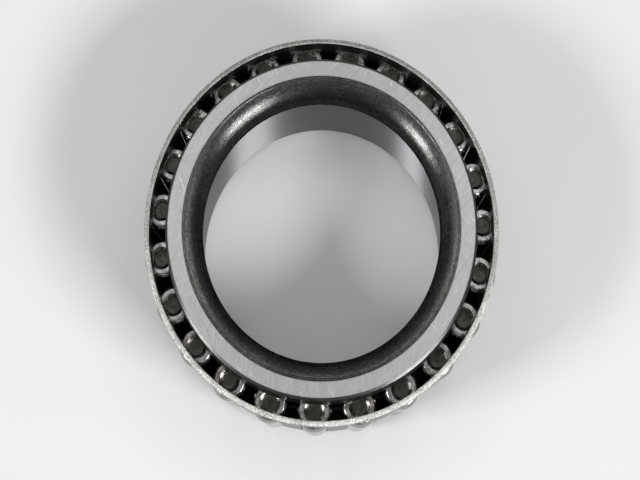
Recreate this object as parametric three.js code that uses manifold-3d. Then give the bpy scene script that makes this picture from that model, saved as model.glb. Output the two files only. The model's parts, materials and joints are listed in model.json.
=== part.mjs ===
// Tapered roller bearing, cone assembly: inner ring, window cage and tapered rollers.
// Millimetres, +Z up along the bearing axis. The origin is on that axis, in the plane of the
// ring's front (small-end) face, so the back (large-end) face lies at z = CONE_WIDTH.
import * as THREE from 'three';
import { mergeVertices } from 'three/addons/utils/BufferGeometryUtils.js';
import Module from 'manifold-3d';

const wasm = await Module();
wasm.setup();

const DEG = Math.PI / 180;

// ---- shared layout -------------------------------------------------------------------------

const CONE_WIDTH = 19.812;
const ROLLER_COUNT = 23;
const ROLLER_PITCH = 2 * Math.PI / ROLLER_COUNT;
const ROLLER_PHASE = 1.63 * DEG;   // azimuth of roller_01
const AXIS_TILT = 10.5 * DEG;      // roller axis to bearing axis
const PITCH_R = 30.79;             // radius of a roller's large-end centre
const PITCH_Z = 16.7;              // height of a roller's large-end centre
const ROLLER_R = 3.3;              // large-end radius
const ROLLER_L = 14.8;

// The roller axes meet in one apex below the ring. The rollers' flanks run to it too, and so
// does the raceway before its clearance is taken off.
const APEX_DIST = PITCH_R / Math.sin(AXIS_TILT);
const APEX_Z = PITCH_Z - APEX_DIST * Math.cos(AXIS_TILT);
const ROLLER_HALF_ANGLE = Math.atan(ROLLER_R / APEX_DIST);
const SMALL_END_R = ROLLER_R * (APEX_DIST - ROLLER_L) / APEX_DIST;

// centre of a roller's small end, which is the roller's origin
const SMALL_END_X = PITCH_R - ROLLER_L * Math.sin(AXIS_TILT);
const SMALL_END_Z = PITCH_Z - ROLLER_L * Math.cos(AXIS_TILT);

const rollerAzimuth = (k) => ROLLER_PHASE + k * ROLLER_PITCH;

// Flank radius of a roller at a distance z from its small end.
const flankRadius = (z) => SMALL_END_R + (ROLLER_R - SMALL_END_R) * z / ROLLER_L;

// ---- geometry helpers ----------------------------------------------------------------------

const point = (x, y) => new THREE.Vector2(x, y);

const closeProfile = (points) => [...points, points[0]];

// A body of revolution about +Z from an (r, z) profile; the seam is at -Y when phase is 0.
function revolve(points, segments, phase = 0) {
  const geometry = new THREE.LatheGeometry(points, segments, phase);
  geometry.rotateX(Math.PI / 2);
  return geometry;
}

// One closed body with shared corners and no collapsed triangles, faces pointing out.
function closedGeometry(source) {
  const bare = source.clone();
  bare.deleteAttribute('normal');
  bare.deleteAttribute('uv');
  const merged = mergeVertices(bare, 1e-5);
  const positions = merged.getAttribute('position');
  const corner = (vertex) => new THREE.Vector3().fromBufferAttribute(positions, vertex);

  const triangles = [];
  let volume = 0;
  for (let i = 0; i < merged.index.count; i += 3) {
    const triangle = [0, 1, 2].map((k) => merged.index.getX(i + k));
    if (new Set(triangle).size < 3) continue;
    const [first, second, third] = triangle.map(corner);
    volume += first.dot(second.cross(third)) / 6;
    triangles.push(triangle);
  }

  // a negative volume means the faces point in
  if (volume < 0) triangles.forEach((triangle) => triangle.push(triangle.splice(1, 1)[0]));
  merged.setIndex(triangles.flat());
  return merged;
}

function toSolid(source) {
  const geometry = closedGeometry(source);
  return new wasm.Manifold(new wasm.Mesh({
    numProp: 3,
    vertProperties: new Float32Array(geometry.getAttribute('position').array),
    triVerts: new Uint32Array(geometry.index.array),
  }));
}

function fromSolid(solid) {
  const mesh = solid.getMesh();
  const geometry = new THREE.BufferGeometry();
  geometry.setAttribute('position', new THREE.Float32BufferAttribute(mesh.vertProperties, 3));
  geometry.setIndex(new THREE.Uint32BufferAttribute(mesh.triVerts, 1));
  return geometry;
}

// ---- inner ring ----------------------------------------------------------------------------

const BORE_R = 45.242 / 2;
const RING_SEGMENTS = 72;

// back (large) end
const BACK_FACE_R_IN = 26.65;
const BACK_FACE_R_OUT = 29.3;
const CORNER_DEPTH = 4.0;          // axial reach of the shaft-fillet corner at the back of the bore
const CORNER_STEPS = 7;
const BIG_RIB_R = 29.74;           // guide rib at the large ends of the rollers
const BIG_RIB_CHAMFER_H = 0.36;    // height of the chamfer between back face and guide rib
const BIG_RIB_EDGE_R = 0.15;       // bevel between guide rib and rib face, radial reach ...
const BIG_RIB_EDGE_RISE = 0.2;     // ... and rise above the plane of the rib face

// relief groove between the rib face and the raceway
const RIB_FACE_R_IN = 27.94;       // where the groove meets the rib face
const GROOVE = [                   // r, z from the rib face down
  [27.54, 17.58], [27.16, 17.45], [27.09, 17.0],
];

// raceway
const RACE_TOP_Z = 16.55;
const RACE_BOTTOM_Z = 3.1;
const RACE_ANGLE = AXIS_TILT - ROLLER_HALF_ANGLE;
const RACE_CLEARANCE = 0.03;       // radial
const RIB_CLEARANCE = 0.05;        // axial, guide rib to the rollers' large ends

// front (small) end; drops are axial, below the plane of the rollers' small ends
const SMALL_RELIEF_TOP = [24.92, 2.78];  // r, z
const SMALL_RELIEF_R = 24.99;      // foot of the retaining rib's upper face
const SMALL_RELIEF_DROP = 0.28;
const SMALL_RIB_R = 26.25;         // retaining rib at the small ends of the rollers
const SMALL_RIB_EDGE_R = 0.2;      // radial reach of the bevel on the rib's upper edge
const SMALL_RIB_FACE_DROP = 0.25;  // at the inner edge of that bevel
const SMALL_RIB_EDGE_DROP = 0.45;  // at its outer edge
const SMALL_RIB_CHAMFER = 0.5;     // between retaining rib and front face
const BORE_CHAMFER = 0.75;         // at the front face

const raceRadius = (z) => (z - APEX_Z) * Math.tan(RACE_ANGLE) - RACE_CLEARANCE;

// Points at a radius on the guide rib's face and near the plane of the rollers' small ends.
const onRibFace = (radius, rise = 0) => point(
  radius,
  PITCH_Z - (radius - PITCH_R) * Math.tan(AXIS_TILT) + RIB_CLEARANCE + rise,
);
const belowSmallEnds = (radius, drop) => point(
  radius,
  SMALL_END_Z - (radius - SMALL_END_X) * Math.tan(AXIS_TILT) - drop,
);

// Quarter ellipse from the bore up to the back face.
function shaftFilletCorner() {
  const width = BACK_FACE_R_IN - BORE_R;
  return Array.from({ length: CORNER_STEPS + 1 }, (_, i) => {
    const angle = (Math.PI / 2) * (1 - i / CORNER_STEPS);
    return point(
      BACK_FACE_R_IN - width * Math.sin(angle),
      CONE_WIDTH - CORNER_DEPTH + CORNER_DEPTH * Math.cos(angle),
    );
  });
}

function ringProfile() {
  return closeProfile([
    ...shaftFilletCorner(),
    // back face and guide rib
    point(BACK_FACE_R_OUT, CONE_WIDTH),
    point(BIG_RIB_R, CONE_WIDTH - BIG_RIB_CHAMFER_H),
    onRibFace(BIG_RIB_R, BIG_RIB_EDGE_RISE),
    onRibFace(BIG_RIB_R - BIG_RIB_EDGE_R),
    onRibFace(RIB_FACE_R_IN),
    ...GROOVE.map(([x, z]) => point(x, z)),
    // raceway
    point(raceRadius(RACE_TOP_Z), RACE_TOP_Z),
    point(raceRadius(RACE_BOTTOM_Z), RACE_BOTTOM_Z),
    // relief and retaining rib
    point(...SMALL_RELIEF_TOP),
    belowSmallEnds(SMALL_RELIEF_R, SMALL_RELIEF_DROP),
    belowSmallEnds(SMALL_RIB_R - SMALL_RIB_EDGE_R, SMALL_RIB_FACE_DROP),
    belowSmallEnds(SMALL_RIB_R, SMALL_RIB_EDGE_DROP),
    point(SMALL_RIB_R, SMALL_RIB_CHAMFER),
    // front face and bore chamfer
    point(SMALL_RIB_R - SMALL_RIB_CHAMFER, 0),
    point(BORE_R + BORE_CHAMFER, 0),
    point(BORE_R, BORE_CHAMFER),
  ]);
}

const ringGeometry = () => closedGeometry(revolve(ringProfile(), RING_SEGMENTS));

// ---- tapered roller ------------------------------------------------------------------------

const ROLLER_SEGMENTS = 24;
const SMALL_EDGE = 0.35;           // edge chamfer, small end
const LARGE_EDGE_L = 0.8;          // axial reach of the rounded edge, large end
const LARGE_EDGE_R = 0.7;          // radial reach of the rounded edge, large end
const LARGE_EDGE_MID_L = 0.42;     // the edge's middle point, as shares of these reaches,
const LARGE_EDGE_MID_R = 0.38;     // in from the end face and from ROLLER_R

// shallow recess in the large end, bevelled at its mouth
const RECESS_R = 1.98;
const BEVEL_R = 1.5;
const BEVEL_DEPTH = 0.29;
const RECESS_FLOOR_R = 1.36;
const RECESS_DEPTH = 0.48;

// From the centre of the small end out, up the flank and in to the recess floor's centre.
function rollerProfile() {
  return [
    point(0, 0),
    point(SMALL_END_R - SMALL_EDGE, 0),
    point(flankRadius(SMALL_EDGE), SMALL_EDGE),
    point(flankRadius(ROLLER_L - LARGE_EDGE_L), ROLLER_L - LARGE_EDGE_L),
    point(
      ROLLER_R - LARGE_EDGE_MID_R * LARGE_EDGE_R,
      ROLLER_L - LARGE_EDGE_MID_L * LARGE_EDGE_L,
    ),
    point(ROLLER_R - LARGE_EDGE_R, ROLLER_L),
    point(RECESS_R, ROLLER_L),
    point(BEVEL_R, ROLLER_L - BEVEL_DEPTH),
    point(RECESS_FLOOR_R, ROLLER_L - RECESS_DEPTH),
    point(0, ROLLER_L - RECESS_DEPTH),
  ];
}

const rollerGeometry = () => closedGeometry(revolve(rollerProfile(), ROLLER_SEGMENTS));

// ---- cage, drawn from sheet ----------------------------------------------------------------

const CAGE_TOP_Z = 19.04;
const CAGE_TOP_R_OUT = 33.84;
const CAGE_TOP_R_IN = 32.86;
const CAGE_SLOPE = 0.205;          // radius lost per mm of height towards the small end
const CAGE_BOTTOM_Z = 0.4;
const CAGE_FLANGE_R = 26.75;       // inner edge of the small-end flange
const CAGE_BEND_R = 1.5;           // outside bend radius at the small end
const BEND_STEPS_OUT = 3;
const BEND_STEPS_IN = 2;
const CAGE_SEGMENTS = 69;
const CAGE_SEAM_PHASE = ROLLER_PHASE + ROLLER_PITCH / 2;

const WINDOW_LEAN = 30 * DEG;      // pocket walls lean in over the roller and keep it in
const WINDOW_CLEARANCE = 0.08;     // gap between a pocket wall and the roller's flank
const WINDOW_GAP_LARGE = 0.37;     // gap past the roller's large end, along its axis
const WINDOW_GAP_SMALL = 0.2;      // gap past its small end
const CUTTER_DEPTH = 4;            // outward from the roller's axis

function cageProfile() {
  const slopeAngle = Math.atan(CAGE_SLOPE);
  const sheet = (CAGE_TOP_R_OUT - CAGE_TOP_R_IN) * Math.cos(slopeAngle);
  const innerBendR = CAGE_BEND_R - sheet;
  // where the outside cone would meet the plane of the flange, and the bend's centre
  const cornerR = CAGE_TOP_R_OUT - (CAGE_TOP_Z - CAGE_BOTTOM_Z) * CAGE_SLOPE;
  const turn = Math.PI / 2 - slopeAngle;
  const bendX = cornerR - CAGE_BEND_R * Math.tan(turn / 2);
  const bendZ = CAGE_BOTTOM_Z + CAGE_BEND_R;
  const bend = (radius, from, to, steps) => Array.from({ length: steps + 1 }, (_, i) => {
    const angle = from + (to - from) * i / steps;
    return point(bendX + radius * Math.cos(angle), bendZ + radius * Math.sin(angle));
  });
  return closeProfile([
    point(CAGE_TOP_R_IN, CAGE_TOP_Z),
    point(CAGE_TOP_R_OUT, CAGE_TOP_Z),
    ...bend(CAGE_BEND_R, -slopeAngle, -Math.PI / 2, BEND_STEPS_OUT),
    point(CAGE_FLANGE_R, CAGE_BOTTOM_Z),
    point(CAGE_FLANGE_R, bendZ - innerBendR),
    ...bend(innerBendR, -Math.PI / 2, -slopeAngle, BEND_STEPS_IN),
  ]);
}

// The space one roller needs through the sheet, in the roller's frame (x outward, y along the
// circumference, z along the roller). It is a wedge that narrows outward: each side wall is
// parallel to the roller's flank where that leans in by WINDOW_LEAN, one clearance away.
function windowCutter() {
  const halfWidth = (x, z) =>
    (flankRadius(z) + WINDOW_CLEARANCE - x * Math.sin(WINDOW_LEAN)) / Math.cos(WINDOW_LEAN);
  const cutter = new THREE.BoxGeometry(1, 1, 1);
  const corners = cutter.getAttribute('position');
  for (let i = 0; i < corners.count; i++) {
    const x = corners.getX(i) > 0 ? CUTTER_DEPTH : 0;
    const z = corners.getZ(i) > 0 ? ROLLER_L + WINDOW_GAP_LARGE : -WINDOW_GAP_SMALL;
    corners.setXYZ(i, x, Math.sign(corners.getY(i)) * halfWidth(x, z), z);
  }
  return cutter;
}

// Carries a roller's frame to its place round the ring.
function rollerMatrix(k) {
  return new THREE.Matrix4().makeRotationZ(rollerAzimuth(k))
    .multiply(new THREE.Matrix4().makeTranslation(SMALL_END_X, 0, SMALL_END_Z))
    .multiply(new THREE.Matrix4().makeRotationY(AXIS_TILT));
}

function cageGeometry() {
  let solid = toSolid(revolve(cageProfile(), CAGE_SEGMENTS, CAGE_SEAM_PHASE));
  const cutter = windowCutter();
  for (let k = 0; k < ROLLER_COUNT; k++) {
    solid = solid.subtract(toSolid(cutter.clone().applyMatrix4(rollerMatrix(k))));
  }
  return fromSolid(solid);
}

// ---- assembly ------------------------------------------------------------------------------

const steel = (color, roughness) =>
  new THREE.MeshStandardMaterial({ color, roughness, metalness: 1 });

const STEELS = {                   // colour, roughness
  ring: steel(0xb9b7b4, 0.32),
  roller: steel(0x9a9c9b, 0.22),
  cage: steel(0x6c6f6c, 0.45),
};

function namedMesh(name, geometry, material) {
  const mesh = new THREE.Mesh(geometry, material);
  mesh.name = name;
  return mesh;
}

// A roller in a group turned to its azimuth.
function rollerStation(k, geometry) {
  const name = `roller_${String(k + 1).padStart(2, '0')}`;
  const roller = namedMesh(name, geometry, STEELS.roller);
  roller.position.set(SMALL_END_X, 0, SMALL_END_Z);
  roller.rotation.y = AXIS_TILT;
  const station = new THREE.Group();
  station.rotation.z = rollerAzimuth(k);
  station.add(roller);
  return station;
}

const bearing = new THREE.Group();
bearing.add(namedMesh('inner_ring', ringGeometry(), STEELS.ring));
bearing.add(namedMesh('cage', cageGeometry(), STEELS.cage));

const sharedRoller = rollerGeometry();
for (let k = 0; k < ROLLER_COUNT; k++) bearing.add(rollerStation(k, sharedRoller));

export default bearing;
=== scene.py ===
# Cone assembly of a tapered roller bearing: inner ring, tapered rollers and a pressed sheet cage.
# The bearing's axis is +Z and it stands on the floor at z = 0, the rollers' large ends upwards.
# Scene units are metres; lengths below are millimetres, scaled by MM, unless noted.
import json
import math

import bpy
import numpy as np
from mathutils import Matrix, Vector


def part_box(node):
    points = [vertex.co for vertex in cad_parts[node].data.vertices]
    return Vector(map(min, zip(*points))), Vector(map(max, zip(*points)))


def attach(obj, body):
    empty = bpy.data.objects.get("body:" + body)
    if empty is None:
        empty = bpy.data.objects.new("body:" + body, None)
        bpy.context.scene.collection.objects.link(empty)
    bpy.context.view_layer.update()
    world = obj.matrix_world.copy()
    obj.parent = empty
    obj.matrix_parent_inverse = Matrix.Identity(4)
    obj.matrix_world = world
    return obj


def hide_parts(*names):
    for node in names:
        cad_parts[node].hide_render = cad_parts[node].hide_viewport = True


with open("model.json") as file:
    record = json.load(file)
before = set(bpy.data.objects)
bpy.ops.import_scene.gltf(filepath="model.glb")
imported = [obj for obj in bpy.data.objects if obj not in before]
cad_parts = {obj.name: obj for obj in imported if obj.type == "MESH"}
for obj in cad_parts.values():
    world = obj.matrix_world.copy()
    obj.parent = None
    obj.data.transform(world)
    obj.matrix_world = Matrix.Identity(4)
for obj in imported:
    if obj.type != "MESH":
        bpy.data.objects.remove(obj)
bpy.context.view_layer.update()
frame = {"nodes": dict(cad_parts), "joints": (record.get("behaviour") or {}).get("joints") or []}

MM = 0.001

# ---- driving sizes ----------------------------------------------------------------------------

JOINTS = {joint["name"]: joint for joint in frame["joints"]}
ROLLERS = sorted(name for name in frame["nodes"] if name.startswith("roller_"))
ROLLER_AXES = [Vector(JOINTS[name + "_spin"]["axis"]).normalized() for name in ROLLERS]
ROLLER_MIDS = [Vector(JOINTS[name + "_spin"]["pos_m"]) / MM for name in ROLLERS]
AZIMUTHS = [math.atan2(axis.y, axis.x) for axis in ROLLER_AXES]
TILT = math.atan2(math.hypot(ROLLER_AXES[0].x, ROLLER_AXES[0].y), ROLLER_AXES[0].z)

ROLLER_LEN = 14.8
LARGE_R = 3.30                     # roller radius at its large end
MID_R, MID_Z = math.hypot(ROLLER_MIDS[0].x, ROLLER_MIDS[0].y), ROLLER_MIDS[0].z
# centres of a roller's ends, as radius and height in the bearing
SMALL_END_R = MID_R - ROLLER_LEN / 2 * math.sin(TILT)
SMALL_END_Z = MID_Z - ROLLER_LEN / 2 * math.cos(TILT)
LARGE_END_R = SMALL_END_R + ROLLER_LEN * math.sin(TILT)
LARGE_END_Z = SMALL_END_Z + ROLLER_LEN * math.cos(TILT)
# all the rollers' cones share one apex on the bearing axis
APEX_DIST = LARGE_END_R / math.sin(TILT)
APEX_Z = LARGE_END_Z - APEX_DIST * math.cos(TILT)
HALF_CONE = math.atan(LARGE_R / APEX_DIST)
SMALL_R = LARGE_R * (APEX_DIST - ROLLER_LEN) / APEX_DIST

RING_LO, RING_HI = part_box("inner_ring")
WIDTH = (RING_HI.z - RING_LO.z) / MM
BORE_R = 22.621
RIB_R = 29.74                      # outside of the rib above the large ends
FACE_IN, FACE_OUT = 26.65, 29.30   # radii of the flat top face
CORNER_H = 4.0                     # height of the curved corner between bore and top face
RACE_GAP, RIB_GAP = 0.03, 0.05     # raceway and rib stand clear of the rollers


def race_r(z):
    """Raceway radius at a height."""
    return (z - APEX_Z) * math.tan(TILT - HALF_CONE) - RACE_GAP


def rib_z(r):
    """Height of the rib's underside, against the large ends, at a radius."""
    return LARGE_END_Z - (r - LARGE_END_R) * math.tan(TILT) + RIB_GAP


def small_z(r):
    """Height of the plane of the small ends at a radius."""
    return SMALL_END_Z - (r - SMALL_END_R) * math.tan(TILT)


# ---- mesh building ----------------------------------------------------------------------------

HOLD = 0.02                        # distance of the extra points that hold an edge's shading


def new_mesh(name, verts, faces, materials, face_materials, attrs, sharp=()):
    """A smooth mesh object from points in metres. attrs: {name: (type, values)} on points."""
    mesh = bpy.data.meshes.new(name)
    mesh.from_pydata([tuple(v) for v in verts], [], [tuple(int(i) for i in f) for f in faces])
    mesh.validate()
    for material in materials:
        mesh.materials.append(material)
    mesh.polygons.foreach_set("material_index", np.array(face_materials, np.int32))
    mesh.polygons.foreach_set("use_smooth", np.ones(len(mesh.polygons), bool))
    for key, (kind, values) in attrs.items():
        layer = mesh.attributes.new(key, kind, "POINT")
        field = "vector" if kind == "FLOAT_VECTOR" else "value"
        layer.data.foreach_set(field, np.array(values, np.float32).ravel())
    if sharp:
        layer = mesh.attributes.new("sharp_edge", "BOOLEAN", "EDGE")
        flags = np.zeros(len(mesh.edges), bool)
        edge_of = {tuple(sorted(edge.vertices)): edge.index for edge in mesh.edges}
        for pair in sharp:
            i = edge_of.get(tuple(sorted(pair)))
            if i is not None:
                flags[i] = True
        layer.data.foreach_set("value", flags)
    mesh.update()
    ob = bpy.data.objects.new(name, mesh)
    bpy.context.scene.collection.objects.link(ob)
    face_outwards(mesh)
    return ob


def face_outwards(mesh):
    """Flips every face of a closed body if its signed volume is negative."""
    mesh.calc_loop_triangles()
    co = np.empty(len(mesh.vertices) * 3)
    mesh.vertices.foreach_get("co", co)
    co = co.reshape(-1, 3)
    corners = np.empty(len(mesh.loop_triangles) * 3, np.int32)
    mesh.loop_triangles.foreach_get("vertices", corners)
    a, b, c = (co[corners.reshape(-1, 3)[:, k]] for k in range(3))
    if np.einsum("ij,ij->i", a, np.cross(b, c)).sum() < 0:
        mesh.flip_normals()
        mesh.update()


def without_repeats(face):
    return [face[i] for i in range(len(face)) if face[i] != face[i - 1]]


def corner_points(corner, previous, following, fillet, before, zone):
    """(point, zone) round one corner, with a holding point on each side."""
    back, ahead = previous - corner, following - corner
    back_len, ahead_len = np.linalg.norm(back), np.linalg.norm(ahead)
    back, ahead = back / back_len, ahead / ahead_len
    if fillet == 0:
        hold = min(HOLD, back_len * 0.3, ahead_len * 0.3)
        return [(corner + back * hold, before), (corner, zone), (corner + ahead * hold, zone)]
    angle = math.acos(max(-1, min(1, float(back @ ahead))))
    setback = min(fillet / math.tan(angle / 2), 0.47 * back_len, 0.47 * ahead_len)
    radius = setback * math.tan(angle / 2)
    bisector = (back + ahead) / np.linalg.norm(back + ahead)
    centre = corner + bisector * (radius / math.sin(angle / 2))
    first, last = corner + back * setback - centre, corner + ahead * setback - centre
    start, end = math.atan2(first[1], first[0]), math.atan2(last[1], last[0])
    sweep = (end - start + math.pi) % (2 * math.pi) - math.pi
    steps = max(3, int(abs(sweep) / math.radians(15)) + 1)
    hold = min(HOLD, 0.3 * (back_len - setback), 0.3 * (ahead_len - setback))
    out = [(corner + back * (setback + hold), before)]
    for k in range(steps + 1):
        a = start + sweep * k / steps
        out.append((centre + radius * np.array([math.cos(a), math.sin(a)]),
                    before if k < steps / 2 else zone))
    out.append((corner + ahead * (setback + hold), zone))
    return out


def profile(path, closed=True):
    """Points, zone of the segment after each, and arc length, from (r, z, fillet, zone) rows.
    zone is the finish of the segment that leaves the point. Fillet 0 keeps the corner; -1 marks
    a point of a smooth curve."""
    count = len(path)
    out = []
    for i, (r, z, fillet, zone) in enumerate(path):
        point = np.array([r, z], float)
        if fillet < 0 or (not closed and i in (0, count - 1)):
            out.append((point, zone))
            continue
        previous = np.array(path[i - 1][:2], float)
        following = np.array(path[(i + 1) % count][:2], float)
        out += corner_points(point, previous, following, fillet, path[i - 1][3], zone)
    points = np.array([o[0] for o in out])
    keep = [0]
    for i in range(1, len(points)):
        if np.linalg.norm(points[i] - points[keep[-1]]) > 1e-4:
            keep.append(i)
    points = points[keep]
    lengths = np.linalg.norm(np.diff(points, axis=0), axis=1)
    return points, [out[i][1] for i in keep], np.concatenate([[0], np.cumsum(lengths)])


def lathe(name, outline, finishes, segments, place=Matrix.Identity(4), closed=True, seed=None):
    """Revolves a profile about +Z. finishes: {zone: material}. A point on the axis closes the
    end with a fan. Corners sharper than 28 degrees get sharp edges."""
    points, zones, arcs = outline
    order = list(finishes)
    count = len(points)
    angles = np.arange(segments) * 2 * math.pi / segments
    verts, arc, rings = [], [], []
    for (r, z), length in zip(points, arcs):
        if r < 1e-6:
            rings.append([len(verts)] * segments)
            verts.append((0, 0, z))
            arc.append(length)
        else:
            rings.append(list(range(len(verts), len(verts) + segments)))
            verts += [(r * math.cos(a), r * math.sin(a), z) for a in angles]
            arc += [length] * segments
    faces, face_materials, sharp = [], [], []
    for i in range(count if closed else count - 1):
        here, there = rings[i], rings[(i + 1) % count]
        for k in range(segments):
            q = (k + 1) % segments
            face = without_repeats([here[k], there[k], there[q], here[q]])
            if len(face) >= 3:
                faces.append(face)
                face_materials.append(order.index(zones[i]))
    for i in range(count) if closed else range(1, count - 1):
        u, v = points[i] - points[i - 1], points[(i + 1) % count] - points[i]
        if abs(math.atan2(u[0] * v[1] - u[1] * v[0], float(u @ v))) > math.radians(28):
            sharp += [(rings[i][k], rings[i][(k + 1) % segments]) for k in range(segments)]
    loc = np.array(verts, float)
    attrs = {"loc": ("FLOAT_VECTOR", loc), "arc": ("FLOAT", arc)}
    if seed is not None:
        attrs["seed"] = ("FLOAT", [seed] * len(loc))
    world_points = [place @ Vector(v) for v in loc * MM]
    return new_mesh(name, world_points, faces, finishes.values(), face_materials, attrs, sharp)


def axes_matrix(x_axis, y_axis, z_axis, origin):
    matrix = Matrix((x_axis, y_axis, z_axis)).transposed().to_4x4()
    matrix.translation = origin
    return matrix


def stand_in(ob, piece):
    """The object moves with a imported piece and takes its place."""
    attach(ob, piece)
    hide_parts(piece)


# ---- shader building --------------------------------------------------------------------------

class Value:
    """A shader output. Each arithmetic operation on it adds one math node."""

    def __init__(self, graph, socket):
        self.graph, self.socket = graph, socket

    def __add__(self, other):
        return self.graph.math("ADD", self, other)

    def __radd__(self, other):
        return self.graph.math("ADD", other, self)

    def __sub__(self, other):
        return self.graph.math("SUBTRACT", self, other)

    def __mul__(self, other):
        return self.graph.math("MULTIPLY", self, other)

    def __truediv__(self, other):
        return self.graph.math("DIVIDE", self, other)


class Graph:
    """A material's node tree. Inputs are Values or plain numbers and colours."""

    def __init__(self, name):
        self.material = bpy.data.materials.new(name)
        self.material.use_nodes = True
        self.tree = self.material.node_tree
        self.tree.nodes.clear()
        self.out = self.node("ShaderNodeOutputMaterial")
        self.bsdf = self.node("ShaderNodeBsdfPrincipled")
        self.tree.links.new(self.bsdf.outputs[0], self.out.inputs[0])

    def node(self, kind, **props):
        node = self.tree.nodes.new(kind)
        for key, value in props.items():
            setattr(node, key, value)
        return node

    def put(self, socket, value):
        if isinstance(value, Value):
            self.tree.links.new(value.socket, socket)
        else:
            socket.default_value = (*value, 1) if socket.type == "RGBA" else value

    def feed(self, node, inputs, output=0):
        """Fills a node's inputs, {index or name: value}, and returns one of its outputs."""
        for key, value in inputs.items():
            self.put(node.inputs[key], value)
        return Value(self, node.outputs[output])

    def attr(self, name, output="Fac"):
        return self.feed(self.node("ShaderNodeAttribute", attribute_name=name), {}, output)

    def math(self, operation, *values):
        return self.feed(self.node("ShaderNodeMath", operation=operation), dict(enumerate(values)))

    def maximum(self, a, b):
        return self.math("MAXIMUM", a, b)

    def hypot(self, x, y):
        return self.math("SQRT", x * x + y * y)

    def split(self, vector):
        node = self.node("ShaderNodeSeparateXYZ")
        self.put(node.inputs[0], vector)
        return [Value(self, output) for output in node.outputs]

    def vector(self, x, y, z):
        return self.feed(self.node("ShaderNodeCombineXYZ"), {0: x, 1: y, 2: z})

    def vector_math(self, operation, *values, output=0):
        node = self.node("ShaderNodeVectorMath", operation=operation)
        return self.feed(node, dict(enumerate(values)), output)

    def stretch(self, vector, factors):
        return self.vector_math("MULTIPLY", vector, factors)

    def noise(self, vector, scale=1.0, detail=2.0, rough=0.5):
        return self.feed(self.node("ShaderNodeTexNoise"), {
            "Vector": vector, "Scale": scale, "Detail": detail, "Roughness": rough}, "Fac")

    def ramp(self, value, *stops):
        """stops: (position, colour)"""
        node = self.node("ShaderNodeValToRGB")
        elements = node.color_ramp.elements
        while len(elements) < len(stops):
            elements.new(0.5)
        for element, (position, colour) in zip(elements, stops):
            element.position = position
            element.color = (*colour, 1)
        return self.feed(node, {0: value})

    def fade(self, value, start, end, low=0.0, high=1.0, kind="SMOOTHSTEP"):
        """low where value is at start, high where it is at end."""
        node = self.node("ShaderNodeMapRange", interpolation_type=kind)
        return self.feed(node, {0: value, 1: start, 2: end, 3: low, 4: high})

    def mix(self, amount, under, over):
        node = self.node("ShaderNodeMix", data_type="RGBA", blend_type="MIX")
        return self.feed(node, {0: amount, 6: under, 7: over}, 2)

    def bump(self, height, depth, strength):
        return self.feed(self.node("ShaderNodeBump"), {
            "Height": height, "Distance": depth * MM, "Strength": strength})

    def set(self, **inputs):
        """Fills the surface shader's inputs and returns the material."""
        self.feed(self.bsdf, {key.replace("_", " "): value for key, value in inputs.items()})
        return self.material


def cylinder_coords(g):
    """Position in mm, its x, y and z, and the radius from the part's own axis."""
    loc = g.attr("loc", "Vector")
    x, y, z = g.split(loc)
    return loc, x, y, z, g.hypot(x, y)


def turned_coords(g):
    """Position in mm, z, radius, and the azimuth as a unit (x, y)."""
    loc, x, y, z, radius = cylinder_coords(g)
    divisor = g.maximum(radius, 0.001)
    return loc, z, radius, (x / divisor, y / divisor)


def streaks(g, azimuth, across, around, fineness, seed=None, detail=3.0, rough=0.6):
    """Streaks round the axis: `around` is their rate along the azimuth, `fineness` across it."""
    depth = across * fineness
    if seed is not None:
        depth = depth + seed
    cx, cy = azimuth
    return g.noise(g.vector(cx * around, cy * around, depth), detail=detail, rough=rough)


def scratches(g, x, y, centre, fineness, along, start, end, seed):
    """Scratches in arcs about a centre in mm; noise fades from none at start to full at end."""
    dx, dy = x - centre[0], y - centre[1]
    distance = g.hypot(dx, dy)
    angle = g.math("ARCTAN2", dy, dx)
    noise = g.noise(g.vector(distance * fineness, angle * along, seed), detail=2.0, rough=0.55)
    return g.fade(noise, start, end)


def brushed(g, amount):
    """Inputs that draw highlights out along the turning marks."""
    tangent = g.node("ShaderNodeTangent", direction_type="RADIAL", axis="Z")
    return {"Anisotropic": amount, "Anisotropic_Rotation": 0.25,
            "Tangent": Value(g, tangent.outputs[0])}


# ---- ring materials ---------------------------------------------------------------------------

# centre, fineness across, rate along, fade start, fade end, seed
FACE_SCRATCHES = [
    ((70, -26), 9.0, 14.0, 0.56, 0.70, 1.3),       # bright, fine
    ((-52, 58), 8.0, 12.0, 0.57, 0.72, 7.7),
    ((-30, -95), 11.0, 16.0, 0.60, 0.72, 3.1),
    ((95, 60), 3.2, 20.0, 0.66, 0.72, 5.9),        # bright, wide and deep
    ((88, -60), 7.0, 16.0, 0.58, 0.70, 9.4),       # dark
    ((-75, -48), 6.0, 14.0, 0.60, 0.72, 12.6),
]


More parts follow.
